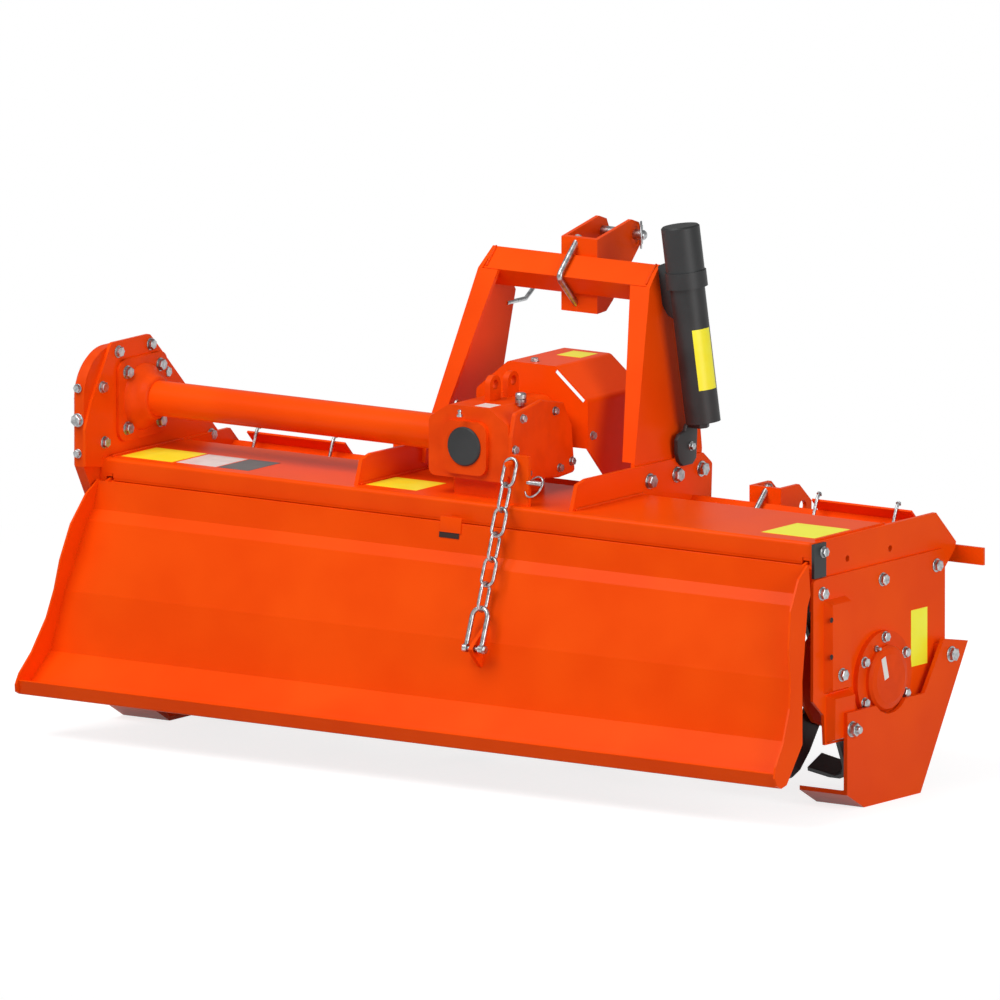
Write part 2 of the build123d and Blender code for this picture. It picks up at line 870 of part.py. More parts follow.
sheet_line = (
    # rear face of the tailgate's sheet, top to lip
    (-18, -40),
    (-24, -92),
    (-38, -112),
    (-82, -238),
    (-105, -348),
    (-168, -410),
    (-184, -414),
    (-191, -390),
)
wing_line = (
    # outline of each wing, down its rear edge
    (-16, -38),
    (-50, -60),
    (-64, -80),
    (-87, -112),
    (-107, -177),
    (-113, -231),
    (-127, -282),
    (-161, -342),
    (-193, -378),
    (-200, -398),
    (-196, -412),
    (-184, -418),
    (-166, -414),
    (-102, -350),
    (-78, -239),
    (-34, -112),
    (-20, -92),
    (-14, -40),
)
tail_top = -38
tail_bottom = -418
wing_slope = wing_spread / (tail_top - tail_bottom)
chain_x = 118
lug_y = -112
lug_z = -246
link_wire = 4


def wing_x(z, inset):
    """Half width of the tailgate at a height, drawn in by a thickness."""
    return half_width + (tail_top - z) * wing_slope - inset


with BuildPart() as tail_sheet_part:
    with BuildSketch(Plane.YZ.offset(-full_half)):
        with BuildLine():
            Polyline(*(side_view(y, z) for y, z in sheet_line))
            offset(amount=tail_sheet, side=Side.LEFT)
        make_face()
    extrude(amount=2 * full_half)
    with BuildSketch(Plane.XZ.offset(-hood_rear)):
        with BuildLine():
            Polyline(
                front_view(wing_x(tail_top + 4, tail_sheet), tail_top + 4),
                front_view(wing_x(tail_bottom - 6, tail_sheet), tail_bottom - 6),
                front_view(-wing_x(tail_bottom - 6, tail_sheet), tail_bottom - 6),
                front_view(-wing_x(tail_top + 4, tail_sheet), tail_top + 4),
                close=True,
            )
        make_face()
    extrude(amount=400, both=True, mode=Mode.INTERSECT)
    for ear_x in ear_places:
        with BuildSketch(Plane.YZ.offset(ear_x - ear_plate / 2)):
            with Locations(side_view(hinge_y, hinge_z)):
                Circle(ear_radius)
            with BuildLine():
                Polyline(
                    side_view(hinge_y, hinge_z + ear_radius),
                    side_view(-15, -42),
                    side_view(-21, -90),
                    side_view(hinge_y + 6, hinge_z - 10),
                    close=True,
                )
            make_face()
        extrude(amount=ear_plate)
    with BuildSketch(Plane.YZ.offset(-full_half)):
        with Locations(side_view(hinge_y, hinge_z)):
            Circle(hinge_radius + running_gap)
    extrude(amount=2 * full_half, mode=Mode.SUBTRACT)
    with BuildSketch(Plane.YZ.offset(chain_x - 4)):
        with BuildLine():
            Polyline(
                side_view(-67, -202),
                side_view(lug_y + 2, lug_z + 12),
                side_view(lug_y - 12, lug_z),
                side_view(lug_y - 4, lug_z - 12),
                side_view(-90, -285),
                side_view(-80, -240),
                close=True,
            )
        make_face()
        with Locations(side_view(lug_y, lug_z)):
            Circle(link_wire + 3, mode=Mode.SUBTRACT)
    extrude(amount=8)
tail_sheet_part.part.label = "tailgate"
export_step(tail_sheet_part.part, "parts/tailgate.step")

for side, wing_name in ((-1, "left_wing"), (1, "right_wing")):
    with BuildPart() as wing:
        with BuildSketch(Plane.YZ.offset(side * (half_width - 20))):
            with BuildLine():
                Polyline(*(side_view(y, z) for y, z in wing_line), close=True)
            make_face()
        extrude(amount=side * (wing_spread + 40))
        with BuildSketch(Plane.XZ.offset(-hood_rear)):
            with BuildLine():
                Polyline(
                    front_view(side * wing_x(tail_top, 0), tail_top),
                    front_view(side * wing_x(tail_bottom, 0), tail_bottom),
                    front_view(side * wing_x(tail_bottom, tail_sheet), tail_bottom),
                    front_view(side * wing_x(tail_top, tail_sheet), tail_top),
                    close=True,
                )
            make_face()
        extrude(amount=400, both=True, mode=Mode.INTERSECT)
    wing.part.label = wing_name
    export_step(wing.part, f"parts/{wing_name}.step")

with BuildPart() as hinge_rod:
    with BuildSketch(Plane.YZ.offset(-half_width)):
        with Locations(side_view(hinge_y, hinge_z)):
            Circle(hinge_radius)
    extrude(amount=2 * half_width)
hinge_rod.part.label = "hinge_rod"
export_step(hinge_rod.part, "parts/hinge_rod.step")

# Plastic pad outside the hinge rod's right end
hinge_pad_outline = (
    side_view(-5, -2),
    side_view(33, -2),
    side_view(33, bearing_top + 2),
    side_view(-5, bearing_top + 2),
)
with BuildPart() as hinge_pad:
    with BuildSketch(Plane.YZ.offset(half_width)):
        with BuildLine():
            Polyline(*hinge_pad_outline, close=True)
        make_face()
    extrude(amount=outer_sheet)
hinge_pad.part.label = "right_hinge_pad"
export_step(hinge_pad.part, "parts/right_hinge_pad.step")

# Chain that holds the tailgate, and the plate it hangs from
chain_top_y = 9
chain_top_z = 84
chain_count = 7
link_half_width = 15.5
link_play = 0.3  # between one link and the next
peg_radius = 5
chain_run = hypot(lug_y - chain_top_y, lug_z - chain_top_z) - link_wire
link_pitch = chain_run / chain_count
chain_dir = Vector(0, lug_y - chain_top_y, lug_z - chain_top_z).normalized()
link_bend = link_half_width - link_wire

with BuildPart() as chain_bracket:
    with Locations(spot(130, 20, 46)):
        Box(40, 8, 92)
    with BuildSketch(Plane.XZ.offset(-hood_rear - 16)):
        with Locations(front_view(chain_x, chain_top_z - peg_radius - 0.6)):
            Circle(peg_radius)
    extrude(amount=24)
chain_bracket.part.label = "chain_bracket"
export_step(chain_bracket.part, "parts/chain_bracket.step")

link_run = link_pitch / 2 + link_wire - link_bend - link_play / 2
with BuildPart() as one_link:
    with BuildSketch(Plane.YZ.offset(-link_run)):
        with Locations((link_bend, 0), (-link_bend, 0)):
            RegularPolygon(link_wire, 8)
    extrude(amount=2 * link_run)
    for end in (-1, 1):
        with BuildSketch(Plane.YZ.offset(end * link_run)):
            with Locations((link_bend, 0)):
                RegularPolygon(link_wire, 8)
        revolve(axis=Axis((end * link_run, 0, 0), (0, 0, -end)), revolution_arc=180)

chain_links = []
for link in range(chain_count):
    centre = Vector(*spot(chain_x, chain_top_y, chain_top_z)) + chain_dir * (link + 0.5) * link_pitch
    across = Vector(1, 0, 0) if link % 2 == 0 else chain_dir.cross(Vector(1, 0, 0))
    link_plane = Plane(origin=centre, x_dir=chain_dir, z_dir=chain_dir.cross(across))
    chain_links.append(link_plane * one_link.part)

with BuildPart() as chain:
    add(chain_links)
chain.part.label = "chain"
export_step(chain.part, "parts/chain.step")

# Rotor

rotor_tube_radius = 40
rotor_end = inner_half - housing_reach - 6
flange_radius = 105
flange_plate = 8
flange_count = 7
flange_setback = 100  # outermost flanges from the side plates' outer faces
flange_step = 2 * (half_width - flange_setback) / (flange_count - 1)
blade_plate = 8
blade_width = 58
blade_foot = 80  # sideways reach of each blade
blade_root = 62
blade_turn = 14  # how far each row of blades is turned on from the one before
axis_spot = Vector(*spot(0, rotor_setback, -rotor_drop))

with BuildPart() as rotor_tube:
    with BuildSketch(Plane.YZ.offset(-rotor_end)):
        with Locations(side_view(rotor_setback, -rotor_drop)):
            Circle(rotor_tube_radius)
    extrude(amount=2 * rotor_end)
    with BuildSketch(Plane.YZ.offset(-half_width)):
        with Locations(side_view(rotor_setback, -rotor_drop)):
            Circle(stub_radius)
    extrude(amount=2 * half_width)
    for flange in range(flange_count):
        flange_x = (flange - (flange_count - 1) / 2) * flange_step
        with BuildSketch(Plane.YZ.offset(flange_x - flange_plate / 2)):
            with Locations(side_view(rotor_setback, -rotor_drop)):
                RegularPolygon(flange_radius, 12, rotation=flange * blade_turn)
        extrude(amount=flange_plate)
rotor_tube.part.label = "rotor_tube"
export_step(rotor_tube.part, "parts/rotor_tube.step")

# L-shaped blades, three bent each way on every flange but the outer two, whose blades bend inwards
blade_bend = 22
tip_inner = rotor_radius - 9
with BuildPart() as one_blade:
    with BuildSketch(Plane.XZ.offset(blade_width / 2)):
        with BuildLine():
            Polyline(
                (0, blade_root),
                (0, tip_inner - blade_bend),
                (0.3 * blade_bend, tip_inner - 0.3 * blade_bend),
                (blade_bend, tip_inner),
                (blade_foot, tip_inner - 12),
            )
            offset(amount=blade_plate, side=Side.LEFT)
        make_face()
    extrude(amount=-blade_width)
    with BuildSketch(Plane.YZ.offset(-blade_plate)):
        with BuildLine():
            Polyline(
                (-blade_width / 2, blade_root),
                (-blade_width / 2, 150),
                (-blade_width / 2 + 12, rotor_radius),
                (blade_width / 2, rotor_radius - 4),
                (blade_width / 2 + 4, 150),
                (blade_width / 2 - 6, blade_root),
                close=True,
            )
        make_face()
    extrude(amount=blade_foot + 2 * blade_plate, mode=Mode.INTERSECT)
    with BuildSketch(Plane.YZ.offset(-blade_plate)):
        Circle(rotor_radius)
    extrude(amount=blade_foot + 2 * blade_plate, mode=Mode.INTERSECT)

blade_places = []
for flange in range(flange_count):
    flange_x = (flange - (flange_count - 1) / 2) * flange_step
    for step in range(6):
        way = 1 if step % 2 else -1
        if flange == 0:
            way = 1
        if flange == flange_count - 1:
            way = -1
        face_x = flange_x + way * flange_plate / 2
        turn = step * 60 + flange * blade_turn
        blade = one_blade.part
        if way < 0:
            blade = blade.mirror(Plane.YZ)
        blade = Pos(face_x + way * blade_plate, 0, 0) * Rot(turn, 0, 0) * blade
        blade_places.append(Pos(axis_spot) * blade)

with BuildPart() as rotor_blades:
    add(blade_places)
rotor_blades.part.label = "rotor_blades"
export_step(rotor_blades.part, "parts/rotor_blades.step")
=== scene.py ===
import json
import math

import bmesh
import bpy
from mathutils import Matrix, Vector


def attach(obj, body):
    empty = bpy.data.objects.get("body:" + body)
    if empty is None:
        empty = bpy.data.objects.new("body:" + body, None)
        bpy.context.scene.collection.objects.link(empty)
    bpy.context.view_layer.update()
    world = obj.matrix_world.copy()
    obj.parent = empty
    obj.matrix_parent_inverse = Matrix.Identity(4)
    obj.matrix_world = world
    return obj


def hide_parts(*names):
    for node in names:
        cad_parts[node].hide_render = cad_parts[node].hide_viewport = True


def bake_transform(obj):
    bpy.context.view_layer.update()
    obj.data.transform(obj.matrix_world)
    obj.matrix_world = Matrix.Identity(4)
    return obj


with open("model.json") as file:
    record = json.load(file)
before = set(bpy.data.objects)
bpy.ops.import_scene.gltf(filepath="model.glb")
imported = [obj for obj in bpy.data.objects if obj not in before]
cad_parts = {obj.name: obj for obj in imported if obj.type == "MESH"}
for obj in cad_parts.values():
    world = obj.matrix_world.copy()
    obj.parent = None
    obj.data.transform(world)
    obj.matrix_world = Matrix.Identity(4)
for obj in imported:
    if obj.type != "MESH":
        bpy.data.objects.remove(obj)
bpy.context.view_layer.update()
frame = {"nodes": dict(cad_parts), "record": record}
print("frame loaded")

mm = 0.001
hoodTop = 500  # height of the hood's flat top, mm
hoodRear = -167  # its rear edge
axisPlace = (205, -275)  # rotor axis, forward of and below that edge


# x from the middle, y forward of the hood's rear edge, z above its top, all in mm
def spot(x, y, z):
    return Vector((x, hoodRear + y, hoodTop + z)) * mm


# a colour as it looks on a screen, as the linear numbers that shaders want
def linearColour(hexText):
    parts = [int(hexText[i : i + 2], 16) / 255 for i in (1, 3, 5)]
    return [p / 12.92 if p <= 0.04045 else ((p + 0.055) / 1.055) ** 2.4 for p in parts] + [1.0]


# a node with its settings, and links given as (output, input name)
def addNode(tree, kind, settings=None, links=()):
    node = tree.nodes.new(kind)
    for name, value in (settings or {}).items():
        if name in node.inputs:
            node.inputs[name].default_value = value
        else:
            setattr(node, name, value)
    for source, name in links:
        tree.links.new(source, node.inputs[name])
    return node


# noise that repeats about every sizeMm, on the piece's own coordinates
def noiseOf(tree, coords, sizeMm, detail):
    settings = {"Scale": 1 / (sizeMm * mm), "Detail": detail, "Roughness": 0.5}
    return addNode(tree, "ShaderNodeTexNoise", settings, [(coords, "Vector")])


# an empty material round one shader, and what its nodes are joined to
def startMaterial(name, shader):
    material = bpy.data.materials.new(name)
    material.use_nodes = True
    tree = material.node_tree
    tree.nodes.clear()
    output = addNode(tree, "ShaderNodeOutputMaterial")
    coords = addNode(tree, "ShaderNodeTexCoord").outputs["Object"]
    surface = addNode(tree, "ShaderNodeBsdfPrincipled", shader)
    tree.links.new(surface.outputs["BSDF"], output.inputs["Surface"])
    return material, tree, coords, surface


# a material whose colour drifts between two tones, its roughness between two values, with a fine bump
def finishedMaterial(name, shader, finish):
    material, tree, coords, surface = startMaterial(name, shader)
    drift = noiseOf(tree, coords, finish["driftMm"], 2.0)
    tones = addNode(tree, "ShaderNodeValToRGB", links=[(drift.outputs["Fac"], "Fac")])
    tones.color_ramp.elements[0].position = 0.35
    tones.color_ramp.elements[1].position = 0.65
    tones.color_ramp.elements[0].color = linearColour(finish["darker"])
    tones.color_ramp.elements[1].color = linearColour(finish["lighter"])
    tree.links.new(tones.outputs["Color"], surface.inputs["Base Color"])
    grain = noiseOf(tree, coords, finish["grainMm"], finish.get("grainDetail", 3.0))
    sheen = addNode(
        tree,
        "ShaderNodeMapRange",
        {"To Min": finish["rough"][0], "To Max": finish["rough"][1]},
        [(drift.outputs["Fac"], "Value")],
    )
    tree.links.new(sheen.outputs["Result"], surface.inputs["Roughness"])
    bump = addNode(
        tree,
        "ShaderNodeBump",
        {"Strength": finish["bump"], "Distance": finish["bumpMm"] * mm},
        [(grain.outputs["Fac"], "Height")],
    )
    tree.links.new(bump.outputs["Normal"], surface.inputs["Normal"])
    return material


# Stove enamel sprayed on pressed sheet steel: a clean orange-red with a faint orange peel
sheetEnamel = {
    "darker": "#F54B04",
    "lighter": "#FB5206",
    "driftMm": 160,
    "grainMm": 4,  # orange peel, drawn twice as coarse as real so that it shows
    "grainDetail": 1.0,
    "rough": (0.26, 0.36),
    "bump": 0.06,
    "bumpMm": 0.3,
}
enamelOnSheet = finishedMaterial(
    "enamelOnSheetSteel", {"IOR": 1.5, "Specular IOR Level": 0.07}, sheetEnamel
)

# The same enamel on sand-cast iron: the mould's grain shows through and dulls it
castEnamel = {
    "darker": "#EA4503",
    "lighter": "#F44C06",
    "driftMm": 40,
    "grainMm": 2.6,
    "rough": (0.34, 0.48),
    "bump": 0.28,
    "bumpMm": 0.5,
}
enamelOnCasting = finishedMaterial(
    "enamelOnCastIron", {"IOR": 1.5, "Specular IOR Level": 0.1}, castEnamel
)

# Zinc plate, passivated: a bright grey metal with soft cloudy patches
zincFinish = {
    "darker": "#9C9EA0",
    "lighter": "#C9CBCC",
    "driftMm": 7,
    "grainMm": 1.2,
    "rough": (0.28, 0.42),
    "bump": 0.12,
    "bumpMm": 0.15,
}
zincPlate = finishedMaterial("zincPlatedSteel", {"Metallic": 1.0}, zincFinish)

# Turned steel: fine lathe rings round the shaft, left oiled
turnedFinish = {
    "darker": "#83807B",
    "lighter": "#A6A49F",
    "driftMm": 14,
    "grainMm": 0.9,
    "rough": (0.25, 0.38),
    "bump": 0.15,
    "bumpMm": 0.12,
}
turnedSteel = finishedMaterial("turnedSteel", {"Metallic": 1.0}, turnedFinish)

# Polypropylene, injection moulded: near-black with a fine leathery grain
moulded = {
    "darker": "#202223",
    "lighter": "#2B2D2E",
    "driftMm": 60,
    "grainMm": 1.6,
    "rough": (0.42, 0.55),
    "bump": 0.2,
    "bumpMm": 0.25,
}
mouldedPlastic = finishedMaterial("mouldedPolypropylene", {"IOR": 1.49}, moulded)

# Forged boron steel dipped in black lacquer: scale under a thin glossy coat
dipped = {
    "darker": "#141518",
    "lighter": "#25272B",
    "driftMm": 35,
    "grainMm": 5,
    "rough": (0.3, 0.5),
    "bump": 0.35,
    "bumpMm": 0.6,
}
dippedSteel = finishedMaterial("lacqueredBoronSteel", {"IOR": 1.5}, dipped)

# Vinyl film, flat and a little waxy
vinylFinish = {"driftMm": 30, "grainMm": 3, "rough": (0.3, 0.4), "bump": 0.05, "bumpMm": 0.1}
vinylTones = {
    "yellowVinyl": ("#FFF02C", "#FFF53E"),
    "whiteVinyl": ("#E4E2DC", "#F1EFEA"),
    "greyVinyl": ("#5D5E5E", "#6C6D6C"),
}
# the yellow gives off a little green light of its own, a painted glow that lifts it against the orange light
# bounced onto it
paintedGreenGlow = {"Emission Color": linearColour("#B4FF10"), "Emission Strength": 0.1}
vinyl = {}
for name, (darker, lighter) in vinylTones.items():
    shader = {"IOR": 1.46, **(paintedGreenGlow if name == "yellowVinyl" else {})}
    vinyl[name] = finishedMaterial(name, shader, {"darker": darker, "lighter": lighter, **vinylFinish})

# Painted shadow inside a slot or hole: a bare, unlit-looking dark plate where there is only shade
paintedShadowFinish = {
    "darker": "#1B0E09",
    "lighter": "#2A140B",
    "driftMm": 20,
    "grainMm": 3,
    "rough": (0.7, 0.8),
    "bump": 0.1,
    "bumpMm": 0.1,
}
paintedShadow = finishedMaterial("paintedShadowPlate", {"IOR": 1.5}, paintedShadowFinish)

slotFinish = {
    "orange_paint": enamelOnSheet,
    "zinc_steel": zincPlate,
    "black_plastic": mouldedPlastic,
    "bright_steel": turnedSteel,
    "blade_steel": dippedSteel,
}
# painted pieces that are cast, where the others are sheet
castNodes = (
    "gearbox_housing",
    "gearbox_cover",
    "bearing_cap",
    "right_bearing",
    "left_bearing",
    "side_drive_case",
    "drive_tube_flange",
)
for part in frame["record"]["subparts"]:
    node = frame["nodes"][part["node"]]
    finish = enamelOnCasting if part["node"] in castNodes else slotFinish[part["material_slot"]]
    node.data.materials.clear()
    node.data.materials.append(finish)
# the hinge rod is painted over along with the hood
frame["nodes"]["hinge_rod"].data.materials[0] = enamelOnSheet
print("materials made")


def addObject(name, data):
    made = bpy.data.objects.new(name, data)
    bpy.context.scene.collection.objects.link(made)
    return made


# a visible piece of its own, on the body that it moves with
def placeMesh(name, mesh, finish, body):
    piece = addObject(name, mesh)
    mesh.materials.append(finish)
    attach(piece, body)
    return piece


# faces look smooth wherever they meet at less than this angle
def smoothByAngle(mesh, degrees):
    for face in mesh.polygons:
        face.use_smooth = True
    mesh.set_sharp_from_angle(angle=math.radians(degrees))


# the finished shape as a mesh, flat-faced unless an angle for smoothing is given
def meshOf(name, shape, smoothDegrees=None):
    mesh = bpy.data.meshes.new(name)
    bmesh.ops.recalc_face_normals(shape, faces=shape.faces)
    shape.to_mesh(mesh)
    shape.free()
    if smoothDegrees:
        smoothByAngle(mesh, smoothDegrees)
    return mesh


# cosine and sine of equal steps round a circle
def circle(sides, phase=0.0):
    angles = [phase + 2 * math.pi * i / sides for i in range(sides)]
    return [(math.cos(a), math.sin(a)) for a in angles]


# a skin over a row of rings, closed into a loop or with a cap on both ends
def skin(shape, rings, loop=False):
    count = len(rings[0])
    for low, high in zip(rings, rings[1:] + rings[:1] if loop else rings[1:]):
        for i in range(count):
            after = (i + 1) % count
            shape.faces.new((low[i], low[after], high[after], high[i]))
    if not loop:
        shape.faces.new(list(reversed(rings[0])))
        shape.faces.new(rings[-1])


# puts local z along a direction, from a place in mm
def towards(place, direction):
    turn = Vector(direction).to_track_quat("Z", "Y").to_matrix().to_4x4()
    return Matrix.Translation(spot(*place)) @ turn


# a turned profile of (distance along, radius) in mm about the local z axis
def turned(shape, profile, toPlace, sides, phase=0.0):
    rings = []
    for along, radius in profile:
        height, reach = along * mm, radius * mm
        around = [toPlace @ Vector((reach * c, reach * s, height)) for c, s in circle(sides, phase)]
        rings.append([shape.verts.new(place) for place in around])
    skin(shape, rings)


# the same turned profile at each (place, direction), all in one piece
def turnedPiece(name, profile, places, sides, smoothDegrees=None, body="frame", look=None):
    shape = bmesh.new()
    for place, direction in places:
        turned(shape, profile, towards(place, direction), sides)
    finish, slotName = look or (zincPlate, "zinc_steel")
    return placeMesh(name, meshOf(name, shape, smoothDegrees), finish, body)


# hexagon-head bolt on its washer, or a nut with the thread's end standing out of it
def addBolt(shape, place, direction, size, nut, phase):
    toPlace = towards(place, direction)
    washerRadius, washerTop = size * 1.05, size * 0.16
    hexRadius = size * 0.9  # to the corners, for a thread of this size
    headTop = washerTop + size * (0.8 if nut else 0.65)
    washer = [(0, washerRadius), (washerTop * 0.75, washerRadius), (washerTop, washerRadius * 0.96)]
    turned(shape, washer, toPlace, 24)
    head = [(washerTop, hexRadius), (headTop - size * 0.09, hexRadius), (headTop, hexRadius * 0.88)]
    turned(shape, head, toPlace, 6, phase)
    if nut:
        thread = size * 0.5
        standing = [(headTop, thread), (headTop + size * 0.42, thread), (headTop + size * 0.5, size * 0.4)]
        turned(shape, standing, toPlace, 16)


# one piece from rows of place, direction, thread size and whether it is a nut; no two are turned alike
def boltSet(name, rows, body="frame"):
    shape = bmesh.new()
    for i, (place, direction, size, nut) in enumerate(rows):
        addBolt(shape, place, direction, size, nut, 0.37 * i)
    return placeMesh(name, meshOf(name, shape), zincPlate, body)


# a bent round rod in zinc plate: corners are rounded to bendMm
def rodPiece(name, points, radius, bendMm=0, closed=False, body="frame"):
    path = [Vector(p) for p in points]
    if bendMm:
        rounded = [path[0]]
        for before, corner, after in zip(path, path[1:], path[2:]):
            inward = (before - corner).normalized()
            outward = (after - corner).normalized()
            cut = min(bendMm, (before - corner).length * 0.45, (after - corner).length * 0.45)
            start, end = corner + inward * cut, corner + outward * cut
            for t in (i / 6 for i in range(7)):
                rounded.append(start * (1 - t) ** 2 + corner * 2 * t * (1 - t) + end * t * t)
        rounded.append(path[-1])
        path = rounded
    curve = bpy.data.curves.new(name, "CURVE")
    curve.dimensions = "3D"
    curve.bevel_depth = radius * mm
    curve.bevel_resolution = 5
    curve.use_fill_caps = True
    line = curve.splines.new("POLY")
    line.points.add(len(path) - 1)
    for point, place in zip(line.points, path):
        point.co = (*spot(*place), 1)
    line.use_cyclic_u = closed
    holder = addObject(name + "Line", curve)
    bpy.context.view_layer.update()
    mesh = bpy.data.meshes.new_from_object(holder)
    bpy.data.objects.remove(holder)
    smoothByAngle(mesh, 50)
    mesh.materials.clear()
    return placeMesh(name, mesh, zincPlate, body)


# points round a circle, or round a part of it, from one direction towards another
def ringPoints(centre, radius, acrossOne, acrossTwo, steps=32, sweepDegrees=360):
    one, two = Vector(acrossOne).normalized(), Vector(acrossTwo).normalized()
    count = steps if sweepDegrees == 360 else steps + 1
    angles = [math.radians(sweepDegrees) * i / steps for i in range(count)]
    return [Vector(centre) + radius * (math.cos(a) * one + math.sin(a) * two) for a in angles]


# a flat plate from an outline, thickened along a direction, its edges rounded when roundMm is given
def platePiece(name, outline, thick, body="frame", finish=None, slotName="orange_paint", roundMm=0.0):
    shape = bmesh.new()
    face = shape.faces.new([shape.verts.new(spot(*p)) for p in outline])
    grown = bmesh.ops.extrude_face_region(shape, geom=[face])
    moved = [g for g in grown["geom"] if isinstance(g, bmesh.types.BMVert)]
    bmesh.ops.translate(shape, verts=moved, vec=Vector(thick) * mm)
    if roundMm:
        bmesh.ops.recalc_face_normals(shape, faces=shape.faces)
        bmesh.ops.bevel(
            shape, geom=shape.edges[:], offset=roundMm * mm, segments=2, profile=0.6, affect="EDGES"
        )
    return placeMesh(name, meshOf(name, shape, 40), finish or enamelOnSheet, body)


# outline of a flat panel from one x to another, between two edges at (y, z)
def panel(begin, end, near, far):
    return [(begin, *near), (end, *near), (end, *far), (begin, *far)]


# a weld bead laid along a seam, with the ripple of its passes
def weldBead(name, points, width):
    shape = bmesh.new()
    for begin, end in zip(points, points[1:]):
        begin, end = Vector(begin), Vector(end)
        run = end - begin
        steps = max(4, int(run.length / 2.2))
        turn = run.to_track_quat("Z", "Y").to_matrix()
        rings = []
        for i in range(steps + 1):
            centre = begin + run * i / steps
            swell = width * (1 + 0.16 * math.sin(i * 2.1)) * (0.55 if i in (0, steps) else 1)
            around = [centre + turn @ Vector((swell * c, swell * s, 0)) for c, s in circle(8)]
            rings.append([shape.verts.new(spot(*place)) for place in around])
        skin(shape, rings)
    return placeMesh(name, meshOf(name, shape, 60), enamelOnCasting, "frame")


right = (1, 0, 0)
left = (-1, 0, 0)
back = (0, -1, 0)
up = (0, 0, 1)

# how far each face stands out to the side
sideFace = 790  # side plates
outerFace = 796  # bearing plate and carrier plate
hubFace = 806  # bearing cap's flange
padFace = 812  # pressed pads
skidFace = 820
capFace = 820  # bearing cap
caseFace = 822  # side drive case
braceFace = 243
caseRear = -50  # side drive case's back, forward of the hood's rear edge

bearingBolts = [
    ((outerFace, 20, -95), right, 12, False),
    ((outerFace, 212, -96), right, 12, False),
    ((outerFace, 384, -95), right, 12, False),
    ((padFace, 60, -248), right, 12, False),
    ((skidFace, 80, -350), right, 14, True),
    ((skidFace, 397, -258), right, 14, False),
    ((outerFace, 24, -19), right, 10, False),
]
boltSet("bearingPlateBolts", bearingBolts)

hubCircle = 75  # radius that the bolts stand on
hubBolts = []
for degrees in (90, 30, 150, -30, 210, 270):
    a = math.radians(degrees)
    y, z = axisPlace[0] + hubCircle * math.cos(a), axisPlace[1] + hubCircle * math.sin(a)
    hubBolts.append(((hubFace, y, z), right, 10, False))
boltSet("hubBolts", hubBolts)

coverFace = 100  # gearbox's right cover
coverPlaces = ((69, 150), (171, 150), (186, 43), (224, 50), (85, 47), (44, 96))
coverBolts = [((coverFace, y, z), right, 8, False) for y, z in coverPlaces]
coverBolts.append(((-85, 130, 150), left, 8, False))
boltSet("gearboxBolts", coverBolts)

braceBolts = [
    ((side * braceFace, y, 21), (side, 0, 0), 14, side < 0) for side in (-1, 1) for y in (267, 353, 432)
]
boltSet("braceBolts", braceBolts)

driveAxis = (120, 97)
driveFlange = {"face": 783, "half": 76, "corner": 22, "bolts": 52}
carrierPlaces = ((50, 189), (151, 189), (199, 131), (0, 130), (6, 27), (342, -6))
carrierBolts = [((-sideFace, y, z), right, 11, False) for y, z in carrierPlaces]
offsets = (-driveFlange["bolts"], driveFlange["bolts"])
flangePlaces = [(driveAxis[0] + a, driveAxis[1] + b) for a in offsets for b in offsets]
carrierBolts += [((-driveFlange["face"], y, z), right, 12, False) for y, z in flangePlaces]
boltSet("carrierBolts", carrierBolts)

casePlaces = ((-30, 110), (38, 183), (130, 180), (215, 90), (-25, 20), (60, -120), (150, -190))
casePlaces += ((265, -190), (290, -290), (205, -355), (125, -300))
caseBolts = [((-caseFace, y, z), left, 8, False) for y, z in casePlaces]
boltSet("caseBolts", caseBolts)

hoodBolts = [((-10, 264, 218), up, 8, False)]
hoodBolts += [((side * 124, 256, 95), (side, 0, 0), 8, False) for side in (-1, 1)]
boltSet("ptoHoodBolts", hoodBolts)
print("bolts placed")

# level and filler plugs on the back of the side drive case
casePlugs = [((-809, caseRear, z), back, size, False) for z, size in ((133, 8), (74, 12), (12, 8))]
boltSet("casePlugs", casePlugs)

clampRod = {"radius": 6, "bend": 14, "nut": 9, "past": 2}
frontTube = {"y": 405, "z": -66, "half": 42.4}  # half is from its axis to an edge
crossbar = {"y": 382, "z": 363, "half": 35.4}


# rod that wraps a square tube standing on its edge, its two legs through the bracket's wall
def tubeClamp(name, x, tube, wallFace):
    rear = tube["y"] - (tube["half"] + clampRod["radius"] * 1.5)
    toWall = wallFace - rear
    toEnd = toWall + clampRod["past"]
    legs = [(x, rear + toEnd, tube["z"] + way * toEnd) for way in (-1, 1)]
    rodPiece(name, [legs[0], (x, rear, tube["z"]), legs[1]], clampRod["radius"], clampRod["bend"])
    return [((x, wallFace, tube["z"] + way * toWall), (0, 1, 0), clampRod["nut"], False) for way in (-1, 1)]


clampNuts = tubeClamp("lowerClamp_left", -397, frontTube, 422)
clampNuts += tubeClamp("lowerClamp_right", 397, frontTube, 422)
clampNuts += tubeClamp("topClamp", -9, crossbar, 399)
boltSet("clampNuts", clampNuts)

# thinner rods that hold the guards: round the tube's rear and lower edges, their heads up at the guard
guardRod = {"radius": 3.2, "bend": 12, "nut": 5, "clear": 5}
outer = frontTube["half"] + guardRod["clear"]
rearEdge, lowerEdge = (frontTube["y"] - outer, frontTube["z"]), (frontTube["y"], frontTube["z"] - outer)
wrap = ((391, 9), (384, 2), rearEdge, lowerEdge, (431, -88))
guardNuts = []
for x in (-717, -545, 533, 708):
    name = "guardClamp_%s%d" % ("left" if x < 0 else "right", abs(x))
    rodPiece(name, [(x, y, z) for y, z in wrap], guardRod["radius"], guardRod["bend"])
    guardNuts.append(((x, 390, 8), (0, 1, 1), guardRod["nut"], False))
boltSet("guardNuts", guardNuts)

